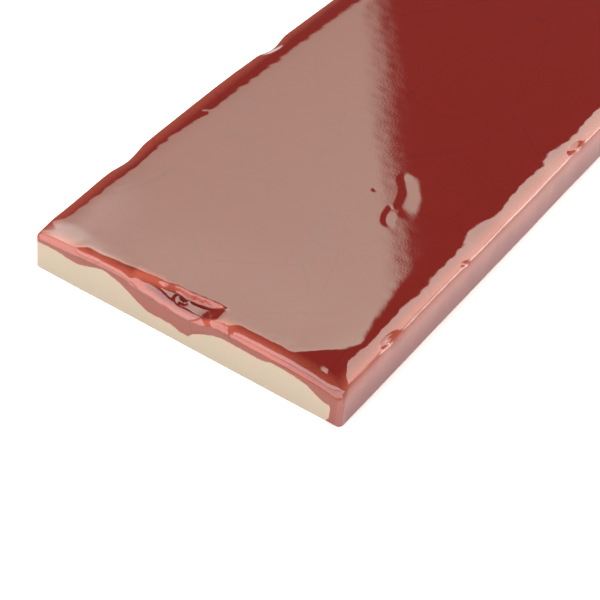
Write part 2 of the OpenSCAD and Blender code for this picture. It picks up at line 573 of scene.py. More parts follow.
@dataclass
class TileSkin:
    """The tile's whole outer skin, as one closed mesh with its glaze's extent at each vertex."""

    # overall size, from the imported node's box
    width: float
    length: float
    thickness: float
    # corners and edges, as in the solid
    corner_radius: float = 1.0
    side_draft: float = 0.05
    back_round: float = 0.25
    face_crown: float = 0.15
    # how much the near end is thinner than the rest, and over what length
    near_thinning: Path = ((-37.5, 0.85), (-30.0, 0.65), (-25.0, 0.42), (-19.0, 0.22),
                           (-10.0, 0.4), (0.0, 0.55), (20.0, 0.5), (28.0, 0.3), (37.5, 0.25))
    thinning_reach: float = 26.0
    # the hand-made waves, as in the solid
    side_wave: float = 0.08
    rim_wave: float = 0.1
    side_phase: float = 25.0
    rim_phase: float = 140.0
    wave_length: float = 42.0
    wave_reach: float = 6.0
    # each wave of the ripple: its share, its bends across and along, and its start's factor
    ripples: tuple[tuple[float, float, float, float], ...] = (
        (0.6, 1.0, 0.9, 1.0), (0.4, 1.7, -1.5, 2.0),
    )
    corner_drop: float = 0.25
    corner_reach: float = 6.0
    back_wander: float = 0.4
    # the mesh: lines over the rim, the step over the face and rows down the sides
    rim_zone: float = 9.0
    rim_lines: tuple[int, int] = (32, 32)
    end_lines: tuple[int, int] = (44, 20)
    rim_crowding: float = 1.6
    face_step: float = 0.42
    side_rows: int = 14
    back_steps: int = 4
    # the face's fall at each side, and how close to one side only its own values count
    side_pull: float = 0.02
    rims: dict[Side, RimProfile] = field(default_factory=lambda: {
        Side.NEAR: RimProfile(
            roll_width=5.0,
            roll_slope=((-37.5, 0.03), (-28.0, 0.03), (-24.0, 0.08), (-14.0, 0.08), (-11.0, 0.02),
                        (10.0, 0.02), (12.0, 0.08), (37.5, 0.08)),
            round_width=((-37.5, 0.95), (-28.0, 1.05), (-25.0, 3.2), (-15.0, 3.3), (-12.5, 1.7),
                         (-9.5, 2.1), (-7.5, 2.1), (-4.5, 1.65), (-0.5, 1.6), (3.0, 1.4),
                         (6.0, 1.0), (9.6, 1.1), (11.8, 3.1), (27.0, 3.1), (36.0, 2.6)),
            round_height=((-37.5, 1.09), (-28.0, 1.2), (-25.0, 2.0), (-15.0, 2.1), (-12.5, 1.4),
                          (-9.5, 1.65), (-7.5, 1.65), (-4.5, 1.4), (-0.5, 1.15), (3.0, 1.25),
                          (6.0, 1.5), (9.6, 1.4), (11.8, 2.8), (27.0, 2.9), (36.0, 2.3)),
            glaze=((-37.5, 0.3), (18.0, 0.3), (27.0, 0.5), (37.5, 0.6)),
            round_power=((-37.5, 1.06), (-28.0, 1.06), (-25.0, 2.0), (-15.0, 2.0), (-12.5, 1.12),
                         (-10.0, 1.08), (3.0, 1.08), (9.6, 1.2), (11.8, 2.0), (37.5, 2.0)),
        ),
        Side.RIGHT: RimProfile(
            roll_width=((-75.0, 11.5), (-67.0, 11.2), (-60.0, 9.0), (75.0, 9.0)), roll_slope=0.3,
            round_width=0.8, round_height=1.8, glaze=0.45,
        ),
        Side.FAR: RimProfile(5.0, 0.08, 2.6, 2.3, 0.4),
        Side.LEFT: RimProfile(
            roll_width=((-75.0, 4.5), (-68.0, 7.2), (-62.0, 8.4), (-30.0, 8.5), (-12.0, 9.2),
                        (5.0, 10.3), (25.0, 11.0)),
            roll_slope=((-75.0, 0.18), (-64.0, 0.32), (75.0, 0.32)), round_width=0.5,
            round_height=((-75.0, 0.8), (-64.0, 2.4), (75.0, 2.4)), glaze=0.58,
        ),
    })
    dents: list[RimDent] = field(default_factory=lambda: [
        RimDent(Side.LEFT, -45.0, 7.0, 0.6, 0.35, 4.0),
        RimDent(Side.LEFT, 7.5, 6.0, 0.6, 0.5, 4.0),
        RimDent(Side.LEFT, 40.0, 60.0, 0.2, 1.5),
        RimDent(Side.RIGHT, -57.5, 5.0, 0.2, 0.1, 2.0),
        RimDent(Side.RIGHT, 18.5, 5.0, 0.2, 0.1, 2.0),
        RimDent(Side.FAR, 17.0, 11.0, 0.7, 0.2),
    ])
    # how far the near rim is lowered along its length, and how far in that reaches
    near_rim: Path = ((-37.5, 0.6), (-33.5, 0.55), (-29.0, 0.35), (-25.0, 0.12), (-21.0, 0.0),
                      (14.0, 0.0), (20.0, 0.08), (24.0, 0.24), (28.0, 0.54), (32.0, 0.85),
                      (35.5, 1.05), (37.5, 1.15))
    near_rim_reach: Path = ((-37.5, 6.5), (-30.0, 6.5), (-24.0, 5.0), (10.0, 4.5), (18.0, 5.0),
                            (21.5, 4.6), (25.5, 5.8), (29.5, 8.8), (31.5, 9.6), (33.0, 7.7),
                            (35.0, 4.7), (36.5, 3.0), (37.5, 2.0))
    hollow: RimHollow = RimHollow(
        floor=((-16.0, 0.0), (-15.0, 0.1), (-13.5, 0.5), (-12.0, 0.66), (-9.5, 0.7), (-8.5, 0.74),
               (-7.6, 0.85), (-4.9, 1.43), (-4.5, 1.5), (-3.5, 1.598), (-2.5, 1.686),
               (-1.5, 1.762), (-0.5, 1.822), (0.1, 1.84), (0.7, 1.82), (1.5, 1.75), (2.5, 1.61),
               (3.3, 1.46), (3.9, 1.3), (4.6, 1.02), (5.4, 0.6), (6.1, 0.28), (6.8, 0.1),
               (7.6, 0.02), (8.5, 0.0), (10.0, 0.0)),
        wall_foot=((-14.0, 1.7), (-12.5, 1.7), (-9.5, 2.2), (-7.0, 2.6), (-4.5, 3.7), (-0.5, 4.0),
                   (2.5, 4.4), (6.0, 4.7), (9.0, 4.4)),
        wall_width=((-14.0, 1.6), (-9.0, 1.6), (-6.5, 1.0), (-3.5, 0.55), (6.0, 0.45), (9.0, 0.8)),
        tilt=-0.02,
    )
    # wide shallow dishes in the face
    dishes: list[Dimple] = field(default_factory=lambda: [
        Dimple(37.5, -75.0, 17.0, 0.22),
        Dimple(35.2, -20.5, 5.5, 0.24, 1.6),
        Dimple(36.0, 12.0, 8.0, 0.15),
    ])
    # lumps over and beside the rim, and the faint unevenness of the whole face
    rim_lumps: Lumps = Lumps(3, 3.0, 8.0, 0.016)
    lump_reach: float = 10.0
    skin_lumps: Lumps = Lumps(11, 2.5, 6.0, 0.0014)
    swell: Lumps = Lumps(5, 28.0, 60.0, 0.008)
    dimples: list[Dimple] = field(default_factory=lambda: [
        # on the face
        Dimple(10.3, -21.7, 0.9, 0.04),
        Dimple(-19.2, -46.0, 1.5, 0.006),
        Dimple(8.0, -33.8, 1.6, 0.006),
        Dimple(6.8, -38.8, 1.0, 0.006),
        Dimple(10.2, -43.0, 1.3, 0.007),
        Dimple(10.6, -48.8, 1.2, 0.005),
        Dimple(-27.5, -15.0, 1.6, 0.006),
        Dimple(-33.2, -22.8, 1.4, 0.05),
        # in the hollow, on its lips and beside them
        Dimple(-2.3, -72.2, 1.6, 0.4),
        Dimple(7.0, -74.4, 0.6, 0.18),
        Dimple(18.2, -70.9, 1.3, 0.04),
        Dimple(22.3, -70.6, 1.7, 0.06),
        # along the right rim
        Dimple(36.5, -57.2, 1.25, 0.4, 3.4, 0.05),
        Dimple(36.4, 18.8, 1.25, 0.4, 3.2, 0.1),
        Dimple(36.7, -28.9, 0.8, 0.22, 2.4, 0.2),
        Dimple(31.4, 22.5, 1.5, 0.05),
    ])
    blisters: tuple[Blister, ...] = (
        Blister(wall=((-26.2, 16.2), (-23.0, 15.8), (-21.0, 15.3), (-19.5, 14.8), (-18.0, 14.0),
                      (-16.5, 12.7), (-15.3, 11.9), (-14.3, 11.6), (-12.5, 11.5))),
        Blister(wall=((-30.5, 17.3), (-29.0, 16.3), (-27.5, 15.6), (-26.0, 15.2), (-23.5, 14.9)),
                wall_width=1.0, slope_width=2.2, depth=0.05, ends=(1.8, 1.5)),
    )
    # dull spots where the gloss is broken: place across and along, and radius
    smudges: tuple[Triple, ...] = (
        (7.2, -34.2, 2.8), (6.6, -38.9, 2.0), (8.8, -39.4, 2.8), (9.9, -43.2, 2.8),
        (7.9, -41.0, 1.4), (10.4, -48.9, 2.4), (-19.0, -46.0, 3.0), (-27.5, -15.2, 3.0),
        (12.9, -36.9, 1.4), (9.4, -45.8, 1.2), (-24.5, -23.5, 2.6), (8.6, -58.5, 2.2),
    )

    @property
    def half_width(self) -> float:
        """Half the width at the rim."""
        return self.width / 2.0 - self.side_draft

    @property
    def half_length(self) -> float:
        """Half the length at the rim."""
        return self.length / 2.0 - self.side_draft

    def ripple(self, x: Grid, y: Grid, phase: float) -> Grid:
        """Two sine waves of unlike length that cross the tile at a slant.

        Args:
            x: places across.
            y: places along.
            phase: where the waves start, in degrees.

        Returns:
            The sum of the waves, from -1 to 1.
        """
        turn = 2.0 * np.pi / self.wave_length
        start = math.radians(phase)
        waves = (share * np.sin(turn * (across * x + along * y) + later * start)
                 for share, across, along, later in self.ripples)
        return sum(waves)

    def grid_lines(self, half: float, counts: tuple[int, int]) -> Grid:
        """Places of the grid's lines from one side to the other.

        Over the rim they crowd towards the side, as a power of their share of the rim's zone, and
        over the face they are evenly spaced.

        Args:
            half: half the distance between the two sides.
            counts: how many lines each of the two rims takes.

        Returns:
            The places in order.
        """
        low, high = (self.rim_zone * np.linspace(0.0, 1.0, count + 1) ** self.rim_crowding
                     for count in counts)
        span = 2.0 * (half - self.rim_zone)
        count = int(math.ceil(span / self.face_step))
        face = np.linspace(-span / 2.0, span / 2.0, count + 1)[1:-1]
        return np.concatenate([low - half, face, (half - high)[::-1]])

    def round_corners(self, x: Grid, y: Grid) -> tuple[Grid, Grid]:
        """Bends the corner squares of a grid into quarter discs.

        Inside a corner square of the corner's radius, with u and v from 0 to 1 towards the corner,
        u becomes u times the root of 1 less half of v squared, and v likewise.

        Args:
            x: places across.
            y: places along.

        Returns:
            The bent places.
        """
        r = self.corner_radius
        inner_x, inner_y = self.half_width - r, self.half_length - r
        u = np.clip((np.abs(x) - inner_x) / r, 0.0, 1.0)
        v = np.clip((np.abs(y) - inner_y) / r, 0.0, 1.0)
        corner = (u > 0) & (v > 0)
        bent_x = np.where(corner, inner_x + r * u * np.sqrt(1.0 - v * v / 2.0), np.abs(x))
        bent_y = np.where(corner, inner_y + r * v * np.sqrt(1.0 - u * u / 2.0), np.abs(y))
        return np.copysign(bent_x, x), np.copysign(bent_y, y)

    def inset(self, x: Grid, y: Grid) -> Grid:
        """Distance in from the rim: the corner's radius less the distance past the inner box.

        Args:
            x: places across.
            y: places along.

        Returns:
            The distance, 0 on the rim.
        """
        r = self.corner_radius
        qx = np.abs(x) - (self.half_width - r)
        qy = np.abs(y) - (self.half_length - r)
        past = np.hypot(np.maximum(qx, 0.0), np.maximum(qy, 0.0))
        return r - past - np.minimum(np.maximum(qx, qy), 0.0)

    def side_measures(self, side: Side, x: Grid, y: Grid) -> tuple[Grid, Grid]:
        """Place along a side, from its middle, and distance in from it.

        Args:
            side: the side.
            x: places across.
            y: places along.

        Returns:
            The place along the side and the distance in.
        """
        across, along = side.value
        if across:
            return y, self.half_width - across * x
        return x, self.half_length - along * y

    def lowering(self, x: Grid, y: Grid) -> Grid:
        """How far the hollow, dents, corners and waves lower the rim and the face beside it.

        A dent is the bell along the rim times the bell in from it.

        Args:
            x: places across.
            y: places along.

        Returns:
            The drop at each place.
        """
        corner = np.hypot(self.width / 2.0 - np.abs(x), self.length / 2.0 - np.abs(y))
        drop = self.corner_drop * bell(corner / self.corner_reach)
        waves = self.rim_wave * self.ripple(x, y, self.rim_phase)
        drop += waves * bell(self.inset(x, y) / self.wave_reach)
        for dent in self.dents:
            place, inward = self.side_measures(dent.side, x, y)
            share = bell((place - dent.place) / dent.half_length) * bell(inward / dent.reach)
            drop += dent.depth * share
        place, inward = self.side_measures(Side.NEAR, x, y)
        reach = soft_path(place, self.near_rim_reach)
        drop += soft_path(place, self.near_rim) * bell(inward / reach)
        drop += self.hollow.fall(place, inward)
        drop += soft_path(place, self.near_thinning) * bell(inward / self.thinning_reach)
        for dish in self.dishes:
            drop += dish.fall(x, y)
        return drop

    def roll(self, x: Grid, y: Grid) -> Grid:
        """Fall of the rolls: the root of the squares of the long sides' and the ends' falls."""
        falls = {side: rim.roll(*self.side_measures(side, x, y)) for side, rim in self.rims.items()}
        return np.hypot(falls[Side.LEFT] + falls[Side.RIGHT], falls[Side.NEAR] + falls[Side.FAR])

    def rim_round(self, x: Grid, y: Grid) -> Grid:
        """Fall of the rim's round, a quarter oval over the distance in from the rim.

        With s the share of the round's width that is left and p its power, the fall is the height
        times 1 less the p-th root of 1 less s to the power p.

        Args:
            x: places across.
            y: places along.

        Returns:
            How far the round has taken the rim down.
        """
        left = np.clip(1.0 - self.inset(x, y) / self.beside(x, y, "round_width"), 0.0, 1.0)
        power = self.beside(x, y, "round_power")
        level = (1.0 - left ** power) ** (1.0 / power)
        return self.beside(x, y, "round_height") * (1.0 - level)

    def beside(self, x: Grid, y: Grid, name: str) -> Grid:
        """One of the rim's values at each place, mixed from the four sides' own.

        Each side counts by one over the square of the distance in from it, plus a small number.

        Args:
            x: places across.
            y: places along.
            name: the field of RimProfile that is wanted.

        Returns:
            The mixed value.
        """
        total, mixed = 0.0, 0.0
        for side, rim in self.rims.items():
            place, inward = self.side_measures(side, x, y)
            pull = 1.0 / (inward * inward + self.side_pull)
            total = total + pull
            mixed = mixed + pull * soft_path(place, getattr(rim, name))
        return mixed / total

    def fine_relief(self, x: Grid, y: Grid) -> Grid:
        """Dimples, blisters and the lumps of the glaze, summed.

        Args:
            x: places across.
            y: places along.

        Returns:
            The drop at each place.
        """
        drop = self.swell.rise(x, y) + self.skin_lumps.rise(x, y)
        drop += self.rim_lumps.rise(x, y) * bell(self.inset(x, y) / self.lump_reach)
        for mark in (*self.dimples, *self.blisters):
            drop += mark.fall(x, y)
        return drop

    def smudge(self, x: Grid, y: Grid) -> Grid:
        """How dull the gloss is: the highest of the smudges' bells.

        Args:
            x: places across.
            y: places along.

        Returns:
            A share from 0 to 1.
        """
        dull = np.zeros(np.shape(x))
        for across, along, radius in self.smudges:
            dull = np.maximum(dull, bell(np.hypot(x - across, y - along) / radius))
        return dull

    def face_height(self, x: Grid, y: Grid) -> Grid:
        """Height of the skin over the rim, roll and face.

        The face's height, plus the crown, less the roll, the round, the lowering and the relief.
        The crown goes with 1 less the square of the share across, and with 1 less the fourth
        power of the share along.

        Args:
            x: places across.
            y: places along.

        Returns:
            The height above the back.
        """
        level = self.thickness - self.face_crown
        crown = (1.0 - (x / self.half_width) ** 2) * (1.0 - (y / self.half_length) ** 4)
        fall = self.roll(x, y) + self.rim_round(x, y) + self.lowering(x, y)
        return level + self.face_crown * crown - fall - self.fine_relief(x, y)

    def wander(self, x: Grid, y: Grid) -> tuple[Grid, Grid]:
        """How far the hand-cut sides stand in from straight.

        Each side's wander is the ripple at its edge plus its dents' inward share, and it fades in
        over the face.

        Args:
            x: places across.
            y: places along.

        Returns:
            The shift across and the shift along.
        """
        shift = {}
        for side in Side:
            across, along = side.value
            edge_x = across * self.width / 2.0 if across else x
            edge_y = along * self.length / 2.0 if along else y
            place, inward = self.side_measures(side, x, y)
            amount = self.side_wave * self.ripple(edge_x, edge_y, self.side_phase)
            for dent in self.dents:
                if dent.side is side:
                    amount = amount + dent.inward * bell((place - dent.place) / dent.half_length)
            shift[side] = amount * bell(inward / self.wave_reach)
        return shift[Side.LEFT] - shift[Side.RIGHT], shift[Side.NEAR] - shift[Side.FAR]

    def build(self, glaze: "GlazeExtent") -> bpy.types.Object:
        """Makes the skin: a grid for the face, rows down the sides and a fan over the back.

        Args:
            glaze: how far down the sides the glaze runs.

        Returns:
            The object. Its mesh holds how far inside the glaze each vertex lies, how deep the
            glaze is, and how milky, worn and smudged.
        """
        lines_x = self.grid_lines(self.half_width, self.rim_lines)
        lines_y = self.grid_lines(self.half_length, self.end_lines)
        x, y = self.round_corners(*np.meshgrid(lines_x, lines_y, indexing="ij"))
        z = self.face_height(x, y)
        shift_x, shift_y = self.wander(x, y)
        face = np.stack([x + shift_x, y + shift_y, z], axis=-1)
        nx, ny = x.shape
        index = np.arange(nx * ny).reshape(nx, ny)
        loop = np.concatenate([index[:-1, 0], index[-1, :-1], index[:0:-1, -1], index[0, :0:-1]])
        rows, row_x, row_y = self.side_points(x.ravel()[loop], y.ravel()[loop], z.ravel()[loop])
        count = len(loop)
        below = nx * ny + np.arange(rows.shape[0] * count).reshape(-1, count)
        points = np.concatenate([face.reshape(-1, 3), rows.reshape(-1, 3), [[0.0, 0.0, 0.0]]])
        plain_x = np.concatenate([x.ravel(), row_x.ravel(), [0.0]])
        plain_y = np.concatenate([y.ravel(), row_y.ravel(), [0.0]])
        patches = [index[:-1, :-1], index[1:, :-1], index[1:, 1:], index[:-1, 1:]]
        rings = [ring_quads(upper, lower) for upper, lower in zip([loop, *below[:-1]], below)]
        quads = np.concatenate([np.stack(patches, -1).reshape(-1, 4), *rings])
        centre = np.full(count, len(points) - 1)
        fan = np.stack([centre, np.roll(below[-1], -1), below[-1]], axis=-1)
        points = self.fitted(points)
        skin = mesh_object("fired_tile", points, quads, fan)
        on_face = np.zeros(len(points), bool)
        on_face[:nx * ny] = True
        reach, depth = glaze.measure(self, plain_x, plain_y, points[:, 2], on_face)
        shares = {"glaze_reach": reach, "glaze_depth": depth,
                  "milky": glaze.milk(self, plain_x, plain_y),
                  "worn": glaze.wear(self, plain_x, plain_y),
                  "smudge": self.smudge(plain_x, plain_y) * on_face}
        for name, values in shares.items():
            store(skin, name, values)
        return skin

    def side_points(self, x: Grid, y: Grid, z: Grid) -> tuple[Grid, Grid, Grid]:
        """Rows of points from the rim down to the back.

        From the rim each row moves down and out along the side's lean, and the last rows follow
        the quarter round of the back's edge in to the back. The sides' wander fades to its share
        at the back.

        Args:
            x: the rim's places across.
            y: the rim's places along.
            z: the rim's heights.

        Returns:
            The points of each row, and their places before the wander.
        """
        r = self.corner_radius
        inner = np.stack([np.clip(x, r - self.half_width, self.half_width - r),
                          np.clip(y, r - self.half_length, self.half_length - r)])
        away = np.stack([x, y]) - inner
        away /= np.hypot(*away)
        down = np.linspace(0.0, 1.0, self.side_rows + 1)[1:, None]
        turn = np.linspace(0.0, np.pi / 2.0, self.back_steps + 1)[1:, None]
        lean = np.concatenate([self.side_draft * down,
                               self.side_draft - self.back_round * (1.0 - np.cos(turn))])
        height = np.concatenate([z + (self.back_round - z) * down,
                                 self.back_round * (1.0 - np.sin(turn)) + 0.0 * z])
        ease = np.concatenate([down, np.ones_like(turn)])
        weight = 1.0 - (1.0 - self.back_wander) * ease
        row_x = x + away[0] * lean
        row_y = y + away[1] * lean
        shift_x, shift_y = self.wander(x, y)
        points = np.stack([row_x + shift_x * weight, row_y + shift_y * weight, height], axis=-1)
        return points, row_x, row_y

    def fitted(self, points: Grid) -> Grid:
        """The points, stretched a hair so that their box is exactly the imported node's box.

        Args:
            points: the skin's points.

        Returns:
            The fitted points.
        """
        low, high = points.min(axis=0), points.max(axis=0)
        size = np.array([self.width, self.length, self.thickness])
        middle = np.array([0.0, 0.0, self.thickness / 2.0])
        return (points - (low + high) / 2.0) * size / (high - low) + middle


@dataclass(frozen=True)
class GlazeExtent:
    """Where the glaze lies: all over the face and one long side, and a ragged skirt elsewhere.

    Attributes:
        skirt: height of the glaze's lower edge above the back, where nothing pulls it down.
        near_edge: the lower edge along the near end, each point a place across and a height.
        wrap: how far the glazed long side's glaze comes round onto both ends.
        film_depth: depth of the thin film on the bare sides, as a share of the face's.
        film_top: how far up the rim's round the film comes, as a share of the round's width.
        rim_top: where the rim's own depth is reached, as a share of the round's width.
        wall_depth: depth on the wall of the hollow, as a share of the face's.
        pooled: how far in from the rim the glaze is as deep as on the face, along the near end.
        corner_wear: how far from the near glazed corner the glaze is thinner.
        waves: how much the skirt wanders with the tile's ripple, and with a shorter wave.
        wave_phase: where the ripple starts, in degrees.
        short_wave: length of the shorter wave across and along, for one radian of it.
        left_skirt: height of the lower edge at the near end of the bare long side.
        left_blend: over what length that height gives way to the skirt's own.
        flare: how much further the glaze comes round the near end at the back.
        flare_height: over what height the flare runs out, as an exponential.
        pool_start: how far in from the rim the glaze starts to grow deeper.
        milky_band: distances in from the glazed side at which the milk is full and gone.
        rim_fade: distances in from the rim at which milk and wear start to fade and are gone.
    """

    skirt: float = 7.3
    near_edge: tuple[Pair, ...] = (
        (-37.5, 6.8), (-33.0, 7.1), (-27.0, 6.6), (-20.0, 8.4), (-16.5, 7.6), (-13.5, 6.1),
        (-11.0, 4.7), (-8.5, 3.8), (-3.0, 3.7), (-0.7, 3.0), (1.2, 3.0), (1.9, 3.9), (7.5, 6.7),
        (9.5, 7.1), (17.5, 6.9), (21.5, 7.5), (28.5, 6.8), (31.0, 5.6), (32.7, 4.7), (34.7, 4.4),
        (35.1, BELOW_THE_BACK), (38.0, BELOW_THE_BACK),
    )
    wrap: float = 2.7
    film_depth: float = 0.12
    film_top: float = 0.06
    rim_top: float = 0.17
    wall_depth: float = 0.3
    pooled: Path = ((-13.0, 4.5), (-9.5, 2.0), (-5.0, 1.7), (6.0, 1.7), (8.0, 4.5))
    corner_wear: float = 1.3
    waves: Pair = (0.6, 0.25)
    wave_phase: float = 70.0
    short_wave: Pair = (1.9, 2.3)
    left_skirt: float = 7.1
    left_blend: float = 9.0
    flare: float = 1.0
    flare_height: float = 0.8
    pool_start: float = 0.5
    milky_band: Pair = (0.6, 1.2)
    rim_fade: Pair = (0.3, 0.9)

    def lower_edge(self, skin: TileSkin, x: Grid, y: Grid) -> Grid:
        """Height of the glaze's lower edge at each place round the sides.

        It is the skirt's height plus a long and a short wave. Along the near end it is the near
        edge's own line, and the bare long side eases into that line's height by a bell.

        Args:
            skin: the tile's skin.
            x: places across.
            y: places along.

        Returns:
            The height, below the back where the side is glazed all the way down.
        """
        long_wave, short_wave = self.waves
        short = np.sin(x / self.short_wave[0] + y / self.short_wave[1])
        wave = long_wave * skin.ripple(x, y, self.wave_phase) + short_wave * short
        plain = self.skirt + wave
        far = np.where(x > skin.width / 2.0 - self.wrap, BELOW_THE_BACK, plain)
        from_end = (y + skin.length / 2.0) / self.left_blend
        left = plain + (self.left_skirt - plain) * bell(from_end)
        near = soft_path(x, self.near_edge)
        edge = np.where(y < -skin.half_length + skin.corner_radius, near, left)
        edge = np.where(y > skin.half_length - skin.corner_radius, far, edge)
        return np.where(x > skin.half_width - skin.corner_radius, BELOW_THE_BACK, edge)

    def measure(self, skin: TileSkin, x: Grid, y: Grid, z: Grid,
                on_face: Grid) -> tuple[Grid, Grid]:
        """How far each vertex lies inside the glaze, and how deep the glaze is there.

        Down the sides the distance is the height over the lower edge, or near the glazed corner
        how far round it the place is. From the rim in, the depth steps from the film's to the
        rim's own, then to the full depth, and falls to the wall's own on the hollow's wall.

        Args:
            skin: the tile's skin.
            x: places across.
            y: places along.
            z: heights.
            on_face: True for the vertices of the face, roll and rim.

        Returns:
            The distance inside the glaze's edge, negative outside it, and the depth from 0 to 1.
        """
        edge = self.lower_edge(skin, x, y)
        flare = self.flare * np.exp(-z / self.flare_height)
        beside = np.where(y < 0, x - (skin.width / 2.0 - self.wrap - flare), -np.inf)
        inset = skin.inset(x, y)
        reach = np.where(inset > skin.corner_radius, FAR_OFF, np.maximum(z - edge, beside))
        reach = np.where(~on_face & (z < LEVEL), -FAR_OFF, reach)
        rim = skin.beside(x, y, "glaze")
        pooled = np.where(y < 0, soft_path(x, self.pooled), self.pooled[0][1])
        deeper = (inset - self.pool_start) / (pooled - self.pool_start)
        over = rim + (1.0 - rim) * smooth_step(deeper, 0.0, 1.0)
        on_wall = skin.hollow.wall(*skin.side_measures(Side.NEAR, x, y))
        over = over - (over - self.wall_depth) * on_wall
        share = inset / skin.beside(x, y, "round_width")
        above_film = smooth_step(share, self.film_top, self.rim_top)
        return reach, self.film_depth + (over - self.film_depth) * above_film

    def milk(self, skin: TileSkin, x: Grid, y: Grid) -> Grid:
        """How far the glaze is the long side's milky one: 1 on that side, 0 over the face.

        It is a step across the last of the width, and it fades out in from the rim.

        Args:
            skin: the tile's skin.
            x: places across.
            y: places along.

        Returns:
            A share from 0 to 1.
        """
        full, gone = self.milky_band
        turned = smooth_step(x, skin.half_width - gone, skin.half_width - full)
        return turned * (1.0 - smooth_step(skin.inset(x, y), *self.rim_fade))

    def wear(self, skin: TileSkin, x: Grid, y: Grid) -> Grid:
        """How far the glaze has drawn back from the upright near corner of the glazed side.

        It is a bell of the distance from halfway into the corner's round, and fades at the rim.

        Args:
            skin: the tile's skin.
            x: places across.
            y: places along.

        Returns:
            A share from 0 to 1.
        """
        into = skin.corner_radius / 2.0
        away = np.hypot(x - (skin.half_width - into), y + skin.half_length - into)
        on_side = 1.0 - smooth_step(skin.inset(x, y), *self.rim_fade)
        return bell(away / self.corner_wear) * on_side


def ring_quads(upper: Grid, lower: Grid) -> Grid:
    """The faces between two rings that run anticlockwise seen from above, facing outwards."""
    return np.stack([lower, np.roll(lower, -1), np.roll(upper, -1), upper], axis=-1)


def mesh_object(name: str, points: Grid, quads: Grid, triangles: Grid) -> bpy.types.Object:
    """Puts points and faces into a new object, with smooth quads and flat triangles.

    Args:
        name: the object's name.
        points: the vertices, in millimetres.
        quads: four indices a face.
        triangles: three indices a face.

    Returns:
        The object, linked to the scene.
    """
    mesh = bpy.data.meshes.new(name)
    corners = np.concatenate([quads.ravel(), triangles.ravel()]).astype(np.int32)
    sizes = np.concatenate([np.full(len(quads), 4), np.full(len(triangles), 3)]).astype(np.int32)
    starts = np.concatenate([[0], np.cumsum(sizes)[:-1]]).astype(np.int32)
    mesh.vertices.add(len(points))
    mesh.vertices.foreach_set("co", (points * MM).astype(np.float32).ravel())
    mesh.loops.add(len(corners))
    mesh.loops.foreach_set("vertex_index", corners)
    mesh.polygons.add(len(sizes))
    mesh.polygons.foreach_set("loop_start", starts)
    mesh.polygons.foreach_set("loop_total", sizes)
    mesh.polygons.foreach_set("use_smooth", sizes > 3)
    mesh.update(calc_edges=True)
    mesh.validate()
    made = bpy.data.objects.new(name, mesh)
    bpy.context.scene.collection.objects.link(made)
    return made


def store(piece: bpy.types.Object, name: str, values: Grid) -> None:
    """Keeps a number for each vertex on a piece's mesh, as an attribute."""
    layer = piece.data.attributes.new(name, "FLOAT", "POINT")
    layer.data.foreach_set("value", values.astype(np.float32))


# ---------------------------------------------------------------------------------------------
# Finishes
# ---------------------------------------------------------------------------------------------


